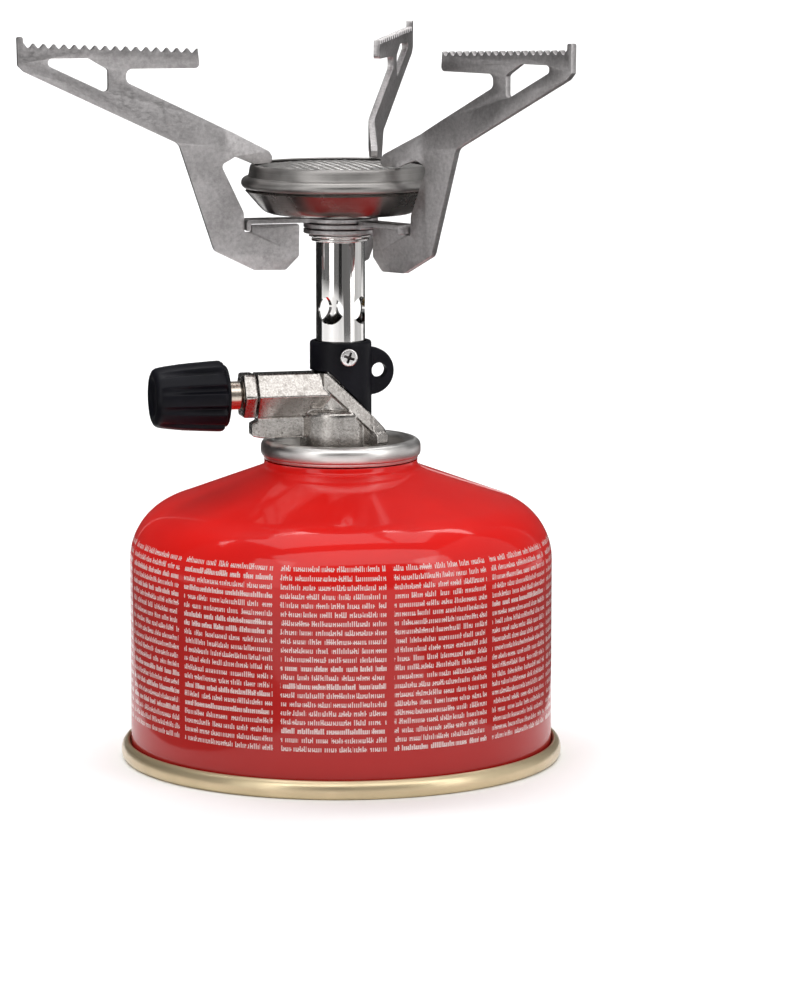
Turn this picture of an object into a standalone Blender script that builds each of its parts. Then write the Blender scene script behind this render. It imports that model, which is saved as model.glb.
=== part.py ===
"""Canister stove: a screw-on gas stove standing on its 100 g canister.

Metres, +Z up. Everything is turned about the canister's axis, which stands at AXIS_X so that the
origin is the centre of the object's footprint. The control knob points along -X, and the three
pot supports stand at the bearings in SUPPORTS, which are close to 120 degrees apart.
"""

import math

import bmesh
import bpy
from mathutils import Matrix, Vector

MM = 0.001

# Driving dimensions
AXIS_X = 10.7 * MM
SHELL_RADIUS = 45.0 * MM
SHELL_WALL = 0.5 * MM
SEAM_RADIUS = 47.1 * MM
SEAM_HEIGHT = 3.9 * MM
BEAD_RADIUS = 17.0 * MM
BEAD_TOP = 68.4 * MM
BOSS_RADIUS = 5.55 * MM
BOSS_TOP = 70.2 * MM
BARREL_Z = 78.1 * MM
BARREL_END = -18.6 * MM
TUBE_RADIUS = 5.2 * MM
TUBE_WALL = 0.6 * MM
TUBE_TOP = 118.0 * MM
AIR_HOLE_Z = 95.9 * MM
AIR_HOLE_RADIUS = 2.95 * MM
AIR_HOLE_ANGLES = (49, 139)
RING_OUTER = 7.8 * MM
RING_INNER = 5.55 * MM
RING_PITCH = 1.2 * MM
ARM_WIDTH = 5.0 * MM
LOWEST_RING = 112.1 * MM
SHEET = 0.9 * MM
ARM_TOP = 115.0 * MM
CUP_BOTTOM = 116.2 * MM
RIM_RADIUS = 20.9 * MM
SUPPORT_SHEET = 1.4 * MM
SCREW_TURN = 20.0
FINGER_BEND_R = 24.8 * MM
FINGER_LOW = 126.5 * MM
FINGER_BEND = math.radians(15.0)
SLOPE_ANGLE = 45.0
SLOPE_POINT = Vector((-4.3, 0.0, 83.0)) * MM

# Each support's bearing in degrees and its plate's sideways offset in mm, from the lowest ring up.
SUPPORTS = {"back": (64.5, -1.6), "front": (-62.3, 1.5), "left": (180.0, 1.3)}

for old in list(bpy.data.objects):
    bpy.data.objects.remove(old)

scene = bpy.context.scene
parts = bpy.data.collections.new("canister_stove")
cutters = bpy.data.collections.new("cutters")
scene.collection.children.link(parts)
scene.collection.children.link(cutters)


def material(name, colour, roughness, metallic):
    made = bpy.data.materials.new(name)
    made.use_nodes = True
    shader = made.node_tree.nodes["Principled BSDF"]
    shader.inputs["Base Color"].default_value = (*colour, 1.0)
    shader.inputs["Roughness"].default_value = roughness
    shader.inputs["Metallic"].default_value = metallic
    return made


RED = material("red_lacquer", (0.62, 0.02, 0.015), 0.25, 0.0)
GOLD = material("gold_lacquer", (0.72, 0.56, 0.30), 0.3, 0.9)
TIN = material("tinplate", (0.62, 0.61, 0.59), 0.35, 1.0)
NICKEL = material("plated_casting", (0.74, 0.71, 0.67), 0.28, 1.0)
CHROME = material("chromed_tube", (0.75, 0.75, 0.76), 0.12, 1.0)
STAINLESS = material("stainless_sheet", (0.46, 0.46, 0.46), 0.38, 1.0)
BURNER_STEEL = material("burner_steel", (0.55, 0.51, 0.46), 0.2, 1.0)
BLACK = material("black_plastic", (0.012, 0.013, 0.018), 0.5, 0.0)
BRASS = material("brass", (0.72, 0.52, 0.22), 0.3, 1.0)
RUBBER = material("black_rubber", (0.02, 0.02, 0.02), 0.7, 0.0)
NYLON = material("white_nylon", (0.75, 0.74, 0.70), 0.5, 0.0)
STEEL = material("bright_steel", (0.6, 0.6, 0.6), 0.3, 1.0)


def empty(name, location, parent=None):
    made = bpy.data.objects.new(name, None)
    made.location = location
    made.parent = parent
    parts.objects.link(made)
    return made


stove_axis = empty("stove_axis", (AXIS_X, 0, 0))
knob_axis = empty("knob_axis", (BARREL_END, 0, BARREL_Z), stove_axis)


def place(obj, look, parent=stove_axis):
    """Puts a made object in the part's collection, or in the cutters' when it has no look."""
    for holder in list(obj.users_collection):
        holder.objects.unlink(obj)
    if look is None:
        cutters.objects.link(obj)
        obj.hide_render = True
        obj.display_type = "WIRE"
    else:
        parts.objects.link(obj)
        obj.data.materials.clear()
        obj.data.materials.append(look)
    obj.parent = parent
    return obj


def smooth(obj, angle=35.0):
    obj.data.shade_smooth()
    obj.data.set_sharp_from_angle(angle=math.radians(angle))


def mesh_object(name, mesh):
    made = bpy.data.objects.new(name, mesh)
    scene.collection.objects.link(made)
    return made


def turned(name, profile, look, steps=32, parent=stove_axis, closed=True):
    """A profile of (radius, height) in mm, down its outer side, turned about the object's Z."""
    mesh = bpy.data.meshes.new(name)
    count = len(profile)
    links = [(k, (k + 1) % count) for k in range(count if closed else count - 1)]
    mesh.from_pydata([(r * MM, 0, z * MM) for r, z in profile], links, [])
    obj = place(mesh_object(name, mesh), look, parent)
    screw = obj.modifiers.new("turn", "SCREW")
    screw.steps = steps
    screw.render_steps = steps
    screw.use_merge_vertices = True
    screw.merge_threshold = 0.00001
    screw.use_smooth_shade = True
    return obj


def arc(centre_r, centre_z, radius, start, end, count):
    """Points in mm along an arc of the profile, from one angle to another in degrees."""
    step = (end - start) / (count - 1)
    angles = [math.radians(start + step * k) for k in range(count)]
    return [(centre_r + radius * math.cos(a), centre_z + radius * math.sin(a)) for a in angles]


def ring_section(major, minor, z):
    """The round section of an o-ring, running clockwise."""
    return arc(major, z, minor, 90, -225, 8)


def cylinder(name, radius, depth, location, look, sides=32, axis="Z", parent=stove_axis):
    """A cylinder in mm about an axis, with its middle at the location."""
    turns = {"X": (0, math.pi / 2, 0), "Y": (math.pi / 2, 0, 0), "Z": (0, 0, 0)}
    bpy.ops.mesh.primitive_cylinder_add(
        vertices=sides, radius=radius * MM, depth=depth * MM, rotation=turns[axis]
    )
    obj = bpy.context.object
    obj.name = name
    obj.location = [value * MM for value in location]
    smooth(place(obj, look, parent))
    return obj


def cutting_box(name, size, location, turn=(0, 0, 0)):
    """A box in mm that only cuts, turned by degrees about X, Y and Z."""
    bpy.ops.mesh.primitive_cube_add(size=1)
    obj = bpy.context.object
    obj.name = name
    obj.data.transform(Matrix.Diagonal([value * MM for value in size] + [1]))
    obj.location = [value * MM for value in location]
    obj.rotation_euler = [math.radians(value) for value in turn]
    return place(obj, None)


def slope_box(name, size, above):
    """A cutting box whose face lies on the casting's sloping plane, raised above it in mm.

    It lies above the plane, or below it where its thickness is negative.
    """
    length, width, thickness = size
    obj = cutting_box(name, (length, width, abs(thickness)), (0, 0, 0), (0, SLOPE_ANGLE, 0))
    centre = Vector((length / 3, 0, above + thickness / 2)) * MM
    obj.location = SLOPE_POINT + obj.rotation_euler.to_matrix() @ centre
    return obj


def combine(obj, other, operation):
    cut = obj.modifiers.new(other.name, "BOOLEAN")
    cut.operation = operation
    cut.solver = "EXACT"
    cut.object = other
    return obj


def bevel(obj, width, segments=2, angle=40.0):
    edge = obj.modifiers.new("bevel", "BEVEL")
    edge.width = width * MM
    edge.segments = segments
    edge.limit_method = "ANGLE"
    edge.angle_limit = math.radians(angle)
    return obj


def rounded(corners, segments=3):
    """An outline in mm from corners of (x, y, radius): each radius becomes an arc."""
    points = []
    count = len(corners)
    for k, (x, y, radius) in enumerate(corners):
        corner = Vector((x, y))
        if radius == 0:
            points.append(corner)
            continue
        before = (Vector(corners[k - 1][:2]) - corner).normalized()
        after = (Vector(corners[(k + 1) % count][:2]) - corner).normalized()
        half = before.angle(after) / 2
        reach = radius / math.tan(half)
        centre = corner + (before + after).normalized() * (radius / math.sin(half))
        start = corner + before * reach - centre
        turn = start.angle_signed(corner + after * reach - centre)
        for step in range(segments + 1):
            points.append(centre + Matrix.Rotation(-turn * step / segments, 2) @ start)
    return points


def sheet(name, outlines, thickness, look, parent=stove_axis):
    """A flat piece from closed outlines in mm, the first the outside and the others holes.

    It lies in its own XY plane, centred on its thickness, as a mesh that other pieces can cut.
    """
    curve = bpy.data.curves.new(name, "CURVE")
    curve.dimensions = "2D"
    curve.fill_mode = "BOTH"
    curve.extrude = thickness * MM / 2
    for outline in outlines:
        spline = curve.splines.new("POLY")
        spline.points.add(len(outline) - 1)
        for point, spot in zip(spline.points, outline):
            point.co = (spot[0] * MM, spot[1] * MM, 0, 1)
        spline.use_cyclic_u = True
    flat = mesh_object(name + "_curve", curve)
    bpy.context.view_layer.update()
    evaluated = flat.evaluated_get(bpy.context.evaluated_depsgraph_get())
    mesh = bpy.data.meshes.new_from_object(evaluated)
    bpy.data.objects.remove(flat)
    work = bmesh.new()
    work.from_mesh(mesh)
    bmesh.ops.remove_doubles(work, verts=work.verts, dist=1e-6)
    bmesh.ops.recalc_face_normals(work, faces=work.faces)
    work.to_mesh(mesh)
    work.free()
    mesh.name = name
    return place(mesh_object(name, mesh), look, parent)


def upright(obj, angle, offset=0.0):
    """Stands a sheet on edge: its X along the radius at an angle, its Y up, moved sideways."""
    turn = Matrix.Rotation(math.radians(angle), 4, "Z")
    shift = turn @ Vector((0, offset * MM, 0))
    obj.matrix_local = Matrix.Translation(shift) @ turn @ Matrix.Rotation(math.pi / 2, 4, "X")
    return obj


# Gas canister -------------------------------------------------------------------------------


def canister():
    r = SHELL_RADIUS / MM
    wall = SHELL_WALL / MM
    shoulder = arc(r - 13.5, 42.5, 13.5, 73, 0, 6)
    inner_shoulder = arc(r - 13.5, 42.5, 13.5 - wall, 0, 73, 6)
    outside = [(16.3, 63.9), (16.3, 62.9), (17.2, 62.2), (23.1, 60.0)] + shoulder + [(r, 1.6)]
    inside = [(r - wall, 1.6)] + inner_shoulder + [(16.9, 61.7), (15.8, 62.6), (15.8, 63.9)]
    turned("canister_shell", outside + inside, RED, 40)

    seam = SEAM_RADIUS / MM
    top = SEAM_HEIGHT / MM
    foot = seam - 0.7
    profile = [(r + 0.4, top - 0.2), (r + 0.8, top), (seam - 0.5, top - 0.3)]
    profile += [(seam, top - 1.2), (seam, 0.9), (seam - 0.6, 0.0)]
    profile += [(foot - 1.9, 0.0), (foot - 2.5, 0.6), (foot - 2.6, 2.6), (26.0, 6.6), (0.0, 8.1)]
    profile += [(0.0, 8.6), (26.0, 7.1), (foot - 2.2, 3.1), (foot - 2.0, 1.2), (r + 0.4, 1.2)]
    turned("canister_base", profile, GOLD, 40)


def canister_valve():
    bead = BEAD_RADIUS / MM
    boss = BOSS_RADIUS / MM
    top = BEAD_TOP / MM
    minor = 1.6
    centre = bead - minor
    profile = [(boss - 0.35, BOSS_TOP / MM), (boss, BOSS_TOP / MM - 0.4), (boss, 65.2), (6.2, 64.4)]
    profile += [(12.7, 64.0), (13.5, 64.4), (centre - minor, top - minor)]
    profile += arc(centre, top - minor, minor, 150, 0, 5)
    profile += [(bead, 65.2), (bead - 0.6, 64.2), (bead - 0.9, 64.6), (bead - 0.6, 65.6)]
    profile += arc(centre, top - minor, minor - 0.5, 0, 150, 4)
    profile += [(14.0, 64.2), (13.0, 63.4), (6.0, 63.8)]
    profile += [(boss - 0.55, 64.8), (boss - 0.55, 68.9), (1.9, 68.9), (1.9, BOSS_TOP / MM)]
    turned("valve_cup", profile, TIN, 32)

    turned("cup_gasket", [(15.3, 66.2), (16.0, 65.9), (16.0, 64.3), (15.0, 64.3), (15.0, 66.2)], RUBBER, 28)

    turned(
        "canister_valve_housing",
        [(2.6, 66.8), (4.6, 66.8), (4.6, 63.0), (4.2, 60.0), (3.4, 57.4), (3.4, 50.0)]
        + [(1.0, 50.0), (1.0, 56.0), (2.6, 57.0)],
        NYLON,
        24,
    )
    turned("canister_valve_gasket", [(1.85, 68.5), (4.6, 68.5), (4.6, 67.2), (1.85, 67.2)], RUBBER, 24)
    stem = [(0, 70.2), (1.1, 70.2), (1.5, 69.8), (1.5, 66.1), (2.15, 65.9), (2.15, 64.6), (0, 64.6)]
    turned("canister_valve_stem", stem, NYLON, 20, closed=False)
    coil("canister_valve_spring", 1.55, 0.25, 57.6, 64.0, 5)


def coil(name, radius, wire, bottom, top, turns):
    """A compression spring as one round wire, wound up the axis."""
    curve = bpy.data.curves.new(name, "CURVE")
    curve.dimensions = "3D"
    curve.bevel_depth = wire * MM
    curve.bevel_resolution = 2
    curve.use_fill_caps = True
    spline = curve.splines.new("POLY")
    per_turn = 8
    count = turns * per_turn + 1
    spline.points.add(count - 1)
    for k in range(count):
        angle = 2 * math.pi * k / per_turn
        height = bottom + (top - bottom) * k / (count - 1)
        spot = (radius * math.cos(angle), radius * math.sin(angle), height)
        spline.points[k].co = [value * MM for value in spot] + [1]
    return place(mesh_object(name, curve), STEEL)


# Stove body ---------------------------------------------------------------------------------


def fin(name, outline, thickness, angle):
    """A rib of the casting, standing on the radius at an angle."""
    return upright(sheet(name, [rounded(outline)], thickness, None), angle)


def gusset():
    """The sloping plate under the sleeve, widening towards its two toes."""
    half = [(-4.8, 4.4, 0), (-3.2, 5.6, 0.8), (4.2, 10.9, 1.0), (7.2, 9.6, 1.2), (9.0, 4.5, 2.0)]
    outline = half + [(x, -y, radius) for x, y, radius in reversed(half)]
    plate = sheet("gusset_form", [rounded(outline)], 16.0, None)
    plate.location = (0, 0, BARREL_Z - 3.3 * MM)
    combine(plate, slope_box("gusset_under_cut", (60, 40, -20), -2.6), "DIFFERENCE")
    return plate


def valve_body():
    """The casting: a hexagonal barrel, a round hub, a sloping plate and three fins."""
    z = BARREL_Z / MM
    body = cylinder("valve_body", 8.8, 10.1, (0, 0, 69.95), NICKEL, 40)
    combine(body, cylinder("hub_core", 6.0, 16.0, (0, 0, 74.8), None), "UNION")
    barrel_length = -BARREL_END / MM
    barrel = cylinder("barrel_form", 5.3, barrel_length, (-barrel_length / 2, 0, z), None, 6, "X")
    bevel(barrel, 0.6, 2, 30)
    combine(body, barrel, "UNION")
    combine(body, gusset(), "UNION")
    left_fin = [(4.0, 79.0, 0), (18.4, 79.0, 0), (18.4, 72.6, 0.4), (19.7, 72.1, 0.4)]
    left_fin += [(19.7, 69.4, 0.6), (17.6, 68.9, 0.4), (4.0, 68.9, 0)]
    combine(body, fin("left_fin", left_fin, 3.6, 180), "UNION")
    toe = [(3.0, 74.6, 0), (9.6, 74.6, 0), (12.0, 70.8, 0.8), (12.9, 70.0, 0.5), (12.9, 68.2, 0.5)]
    toe += [(11.2, 67.7, 0.5), (3.0, 67.7, 0)]
    for side, angle in (("back_fin", 60), ("front_fin", -60)):
        combine(body, fin(side, toe, 3.2, angle), "UNION")
    combine(body, slope_box("body_slope_cut", (60, 40, 20), 0.0), "DIFFERENCE")
    combine(body, cylinder("jet_column", 5.2, 13.4, (0, 0, 77.6), None), "UNION")
    cuts = (
        ("thread_socket", BOSS_RADIUS / MM + 0.3, 12.0, (0, 0, 66.4), "Z", 32),
        ("jet_bore", 2.3, 6.0, (0, 0, 81.8), "Z", 20),
        ("jet_passage", 0.6, 6.0, (0, 0, z + 2.4), "Z", 12),
        ("inlet_passage", 0.5, 5.6, (-2.1, 0, 74.4), "Z", 12),
        ("pin_bore", 1.3, 5.0, (0, 0, 73.0), "Z", 16),
        ("spindle_bore", 3.4, 14.0, (-14.6, 0, z), "X", 24),
        ("needle_chamber", 1.5, 7.6, (-5.2, 0, z), "X", 16),
        ("seat_passage", 0.6, 2.4, (-0.4, 0, z), "X", 12),
    )
    for name, radius, depth, centre, axis, sides in cuts:
        combine(body, cylinder(name, radius, depth, centre, None, sides, axis), "DIFFERENCE")


def along_x(name, profile, look, steps=20, closed=False):
    """A turned piece about the barrel's axis: heights in the profile run out along -X."""
    obj = turned(name, profile, look, steps, knob_axis, closed)
    obj.rotation_euler = (0, -math.pi / 2, 0)
    return obj


def stove_valve():
    end = BARREL_END / MM
    z = BARREL_Z / MM
    flats, length, gap = 9.2, 3.2, 0.3
    nut = cylinder("gland_nut", flats / math.sqrt(3), length, (end - gap - length / 2, 0, z), NICKEL, 6, "X")
    bevel(nut, 0.5, 2, 30)
    combine(nut, cylinder("nut_shank", 3.0, 3.0, (end + 0.9, 0, z), None, 20, "X"), "UNION")
    combine(nut, cylinder("nut_bore", 2.0, 14.0, (end, 0, z), None, 20, "X"), "DIFFERENCE")

    spindle = [(0, 16.4), (1.3, 16.4), (1.7, 16.0), (1.7, 5.6), (3.0, 5.6), (3.0, 3.9), (1.6, 3.9)]
    spindle += [(1.6, -5.2), (2.9, -5.2), (2.9, -9.4), (1.2, -9.9), (1.2, -14.4), (0.35, -16.0), (0, -16.0)]
    along_x("valve_spindle", spindle, STEEL)
    along_x("spindle_oring", ring_section(2.45, 0.5, -4.3), RUBBER, closed=True)
    turned("thread_seal", ring_section(3.6, 0.7, 71.35), RUBBER, 24)
    pin = [(0, 75.2), (1.0, 75.2), (1.0, 70.6), (0.7, 70.5), (0, 70.5)]
    turned("depressor_pin", pin, BRASS, 16, closed=False)
    nozzle = [(0.3, 88.0), (1.2, 88.0), (2.0, 87.2), (2.6, 87.0), (2.6, 84.7), (2.0, 84.7), (2.0, 81.4)]
    nozzle += [(1.4, 81.4), (1.4, 86.6), (0.3, 87.2)]
    turned("jet", nozzle, BRASS, 24)
    turned("jet_filter", [(0, 85.8), (1.1, 85.8), (1.1, 81.6), (0, 81.6)], BRASS, 16, closed=False)


def control_knob():
    """A tapered grip with ten shallow grooves that fade towards its rounded outer end."""
    grip = [(0, 21.6), (3.6, 21.6), (4.1, 22.1), (5.4, 22.1), (6.2, 21.4), (6.6, 19.8), (7.0, 16.2)]
    grip += [(7.5, 7.6), (7.4, 6.9), (6.5, 6.6), (6.5, 5.9), (2.0, 5.9), (2.0, 16.8), (0, 16.8)]
    knob = along_x("control_knob", grip, BLACK, 40)
    grooves = 10
    lean = Matrix.Rotation(math.radians(2.0), 4, "Y")
    outwards = Matrix.Translation((8.65 * MM, 0, 12.0 * MM)) @ lean
    for k in range(grooves):
        angle = 2 * math.pi * k / grooves
        groove = cylinder(f"knob_groove_{k}", 2.0, 17.0, (0, 0, 0), None, 16, "Z", knob_axis)
        spin = Matrix.Rotation(-math.pi / 2, 4, "Y") @ Matrix.Rotation(angle, 4, "Z")
        groove.matrix_local = spin @ outwards
        combine(knob, groove, "DIFFERENCE")


def tube_clamp():
    """A plastic sleeve over the jet column and the tube's foot, cut along the slope, with an eyelet."""
    clamp = cylinder("tube_clamp", 6.6, 20.0, (0, 0, 79.3), BLACK, 40)
    bevel(clamp, 0.5)
    lug = cylinder("clamp_lug", 5.1, 2.6, (6.35, 0, 82.6), None, 32, "Y")
    bevel(lug, 0.4)
    combine(clamp, lug, "UNION")
    combine(clamp, slope_box("clamp_slope_cut", (60, 40, -30), 0.35), "DIFFERENCE")
    combine(clamp, cylinder("clamp_bore", TUBE_RADIUS / MM + 0.3, 30, (0, 0, 80), None, 40), "DIFFERENCE")
    combine(clamp, cylinder("lug_hole", 1.55, 8, (8.1, 0, 82.7), None, 20, "Y"), "DIFFERENCE")
    combine(clamp, cylinder("screw_hole", 1.2, 3, (0, -6.6, 86.3), None, 16, "Y"), "DIFFERENCE")

    screw = cylinder("clamp_screw", 1.9, 1.0, (0, -7.4, 86.3), STEEL, 24, "Y")
    bevel(screw, 0.4)
    combine(screw, cylinder("screw_shank", 0.9, 1.7, (0, -6.5, 86.3), None, 16, "Y"), "UNION")
    for turn in (0, 90):
        slot = cutting_box(f"screw_slot_{turn}", (2.4, 0.9, 0.5), (0, -7.9, 86.3), (0, turn + SCREW_TURN, 0))
        combine(screw, slot, "DIFFERENCE")


# Burner -------------------------------------------------------------------------------------


def burner_tube():
    r = TUBE_RADIUS / MM
    top = TUBE_TOP / MM
    inner = r - TUBE_WALL / MM
    foot = 84.6
    tube = turned("burner_tube", [(inner, top), (r, top), (r, foot), (inner, foot)], CHROME, 40)
    across = AIR_HOLE_RADIUS / MM
    for angle in AIR_HOLE_ANGLES:
        hole = cylinder(f"air_hole_{angle}", across, 16, (0, 0, AIR_HOLE_Z / MM), None, 24, "X")
        hole.rotation_euler = (0, math.pi / 2, math.radians(angle))
        combine(tube, hole, "DIFFERENCE")


def tube_rings():
    inner = RING_INNER / MM
    turned("tube_clip", [(5.5, 111.0), (6.1, 111.0), (6.1, 110.4), (5.5, 110.4)], STEEL)
    turned("wave_washer", [(inner, 111.75), (6.7, 111.75), (6.7, 111.35), (inner, 111.35)], STEEL)


def carrier(side, level, angle, offset):
    """A ring on the tube, with an arm that steps up to the common level and hooks down at its end."""
    low = (LOWEST_RING + level * RING_PITCH) / MM
    high = low + SHEET / MM
    inner = RING_INNER / MM
    outer = RING_OUTER / MM
    ring = [(inner, high), (outer, high), (outer, low), (inner, low)]
    obj = turned(f"carrier_{side}", ring, STAINLESS, 36)
    top = max(ARM_TOP / MM, high)
    arm = [(6.6, low, 0), (6.6, high, 0)]
    if high < top:
        arm += [(8.1, high, 0.1), (8.1, top, 0.3)]
    arm += [(20.75, top, 0.7), (20.75, 113.0, 0), (19.9, 113.0, 0), (19.9, top - SHEET / MM, 0.2)]
    if high < top:
        arm += [(9.0, top - SHEET / MM, 0.2), (9.0, low, 0.3)]
    else:
        arm += [(9.0, low, 0)]
    strip = sheet(f"arm_{side}", [rounded(arm, 2)], ARM_WIDTH / MM, None)
    combine(obj, upright(strip, angle, math.copysign(0.4, offset)), "UNION")


def tooth_line(start, end, count, depth):
    """The points between the two ends of the pot edge: rounded teeth with a valley between each pair."""
    start, end = Vector(start), Vector(end)
    along = (end - start) / count
    down = Vector((-along.y, along.x)).normalized()
    points = []
    for k in range(count):
        base = start + along * k
        points.append(base + along * 0.16)
        points.append(base + along * 0.38 + down * depth)
        points.append(base + along * 0.62 + down * depth)
        points.append(base + along * 0.84)
    return points


def pot_support(side, angle, offset):
    """A sheet plate on edge: foot under the carrier's arm, leg, and a toothed finger bent sideways."""
    lower = [(30.8, 151.1, 0), (30.4, 147.1, 0.9), (45.9, 147.1, 1.3), (46.0, 144.4, 1.4)]
    lower += [(30.3, 136.9, 0), (15.0, 129.4, 0), (14.3, 128.3, 0), (14.4, 126.9, 0.8), (18.6, 126.9, 0)]
    lower += [(22.9, 128.6, 1.2), (26.0, 126.9, 1.0), (21.2, 116.8, 2.5), (21.1, 112.7, 0.3)]
    lower += [(19.55, 112.7, 0.3), (19.55, 113.7, 0), (9.3, 113.7, 0.4), (9.4, 107.5, 0), (12.3, 104.6, 1.0)]
    lower += [(19.0, 104.7, 1.0), (27.5, 108.9, 1.6), (34.9, 131.4, 2.0), (67.2, 146.7, 1.2)]
    lower += [(68.5, 148.0, 0.6), (68.6, 153.9, 0.4), (67.4, 153.9, 0.4), (67.3, 152.6, 0)]
    window = [(62.3, 149.4, 0.8), (53.8, 149.4, 1.5), (49.7, 147.0, 0.8), (49.7, 142.0, 0.8)]
    window += [(62.2, 147.9, 0.8)]
    outline = rounded(lower, 2) + tooth_line(lower[-1][:2], lower[0][:2], 17, 0.95)
    plate = sheet(f"pot_support_{side}", [outline, rounded(window, 2)], SUPPORT_SHEET / MM, STAINLESS)
    work = bmesh.new()
    work.from_mesh(plate.data)
    everything = work.verts[:] + work.edges[:] + work.faces[:]
    bend_line = (FINGER_BEND_R, 0, 0)
    bmesh.ops.bisect_plane(work, geom=everything, dist=1e-6, plane_co=bend_line, plane_no=(1, 0, 0))
    hinge = Matrix.Translation((FINGER_BEND_R, 0, 0)) @ Matrix.Rotation(FINGER_BEND, 4, "Y")
    hinge = hinge @ Matrix.Translation((-FINGER_BEND_R, 0, 0))
    finger = [v for v in work.verts if v.co.x < FINGER_BEND_R - 1e-6 and v.co.y > FINGER_LOW]
    bmesh.ops.transform(work, matrix=hinge, verts=finger)
    work.to_mesh(plate.data)
    work.free()
    upright(plate, angle, offset)


def burner_head():
    low = CUP_BOTTOM / MM
    rim = RIM_RADIUS / MM
    neck = TUBE_RADIUS / MM + 0.3
    cup = [(19.6, 121.5), (20.0, 121.0), (16.2, low + 0.6), (14.4, low), (neck, low), (neck, low + 0.8)]
    cup += [(14.2, low + 0.8), (15.6, low + 1.3)]
    turned("burner_cup", cup, BURNER_STEEL, 40)
    bead = arc(rim - 1.25, 122.75, 1.25, 50, -90, 4)
    inside = [(rim - 1.7, 122.0), (rim - 1.7, 124.2), (18.1, 126.4)]
    turned("burner_rim", [(18.5, 126.6), (19.0, 126.2), (19.3, 124.2)] + bead + inside, BURNER_STEEL, 40)
    plate = [(0, 126.5), (17.7, 126.2), (17.7, 125.4), (0, 125.7)]
    turned("burner_plate", plate, STAINLESS, 48, closed=False)
    spreader = [(0, 122.6), (12.0, 122.0), (12.6, 121.2), (12.0, 121.3), (0, 121.9)]
    turned("flame_spreader", spreader, STAINLESS, 40, closed=False)


canister()
canister_valve()
valve_body()
stove_valve()
control_knob()
tube_clamp()
burner_tube()
tube_rings()
for ring_level, (support_side, (bearing, plate_offset)) in enumerate(SUPPORTS.items()):
    carrier(support_side, ring_level, bearing, plate_offset)
    pot_support(support_side, bearing, plate_offset)
burner_head()
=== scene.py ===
"""Looks for the canister stove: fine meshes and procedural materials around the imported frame."""

import math

import bmesh
import bpy
from mathutils import Matrix, Vector


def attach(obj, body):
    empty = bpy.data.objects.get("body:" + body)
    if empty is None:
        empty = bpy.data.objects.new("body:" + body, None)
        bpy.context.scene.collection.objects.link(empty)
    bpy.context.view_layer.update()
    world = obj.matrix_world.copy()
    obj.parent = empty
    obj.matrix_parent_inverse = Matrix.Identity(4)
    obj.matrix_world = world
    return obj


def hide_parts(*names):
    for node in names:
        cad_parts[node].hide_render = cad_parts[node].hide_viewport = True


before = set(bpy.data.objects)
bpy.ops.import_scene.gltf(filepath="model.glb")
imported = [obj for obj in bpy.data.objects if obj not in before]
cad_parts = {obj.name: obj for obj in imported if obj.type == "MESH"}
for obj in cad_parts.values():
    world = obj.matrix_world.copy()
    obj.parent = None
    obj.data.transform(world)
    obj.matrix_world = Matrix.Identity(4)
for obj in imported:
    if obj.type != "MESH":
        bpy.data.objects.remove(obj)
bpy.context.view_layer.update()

# Lengths are in metres where MM is named and in millimetres elsewhere; angles are in degrees.
MM = 0.001
AXIS_X = 10.7 * MM
BARREL_Z = 78.1 * MM
BARREL_END = -18.6
SLOPE_ANGLE = 45.0
SLOPE_POINT = (-4.3, 0.0, 83.0)
SUPPORTS = {"back": (64.5, -1.6), "front": (-62.3, 1.5), "left": (180.0, 1.3)}
VIEW_ANGLE = math.radians(13.5)

WALL_RADIUS = 45.0
PRINT_LOW, PRINT_HIGH = 9.3 * MM, 48.3 * MM
PRINT_ROW = 1.86 * MM
PRINT_COLUMNS = 12
COLUMN_SHIFT = 20.02
COLUMN_MARGIN = 0.035
STROKE_PITCH = 0.43
WORD_PITCH = 3.1
INK_COVER = 0.9
# Heights between which the red lacquer turns to the painted shade of the can's upright wall.
WALL_SHADE_START, WALL_SHADE_FULL = 52 * MM, 36 * MM
MOULD_LINE_PITCH = 2.3 * MM
# Depths from the screw head's face to where its painted recess shade is full.
SCREW_FACE, SCREW_RECESS = -7.78 * MM, -7.6 * MM
TUBE_HOLE_ANGLES = (49, 139)
KNOB_GROOVES = 10
KNOB_GROOVE_DEPTH = 1.05 * MM
PLATE_RADIUS = 17.6
PLATE_CENTRE, PLATE_CROWN, PLATE_TOP, PLATE_EDGE_LOW, PLATE_UNDER = 126.28, 0.3, 126.5, 125.4, 125.7
RIB_PITCH, RIB_ROW, RIB_LEAN = 1.9, 1.25, 33
RIB_HALF_LENGTH, RIB_HALF_WIDTH, RIB_HEIGHT = 1.02, 0.42, 0.24
TEETH, TOOTH_DEPTH = 17, 0.95
SUPPORT_SHEET = 1.36
FINGER_BEND_R, FINGER_BEND_HALF = 24.8 * MM, 0.9 * MM
FINGER_BEND, FINGER_LOW = 15.0, 126.5 * MM

scene = bpy.context.scene
scene.view_settings.view_transform = "Standard"


# Materials ----------------------------------------------------------------------------------


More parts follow.
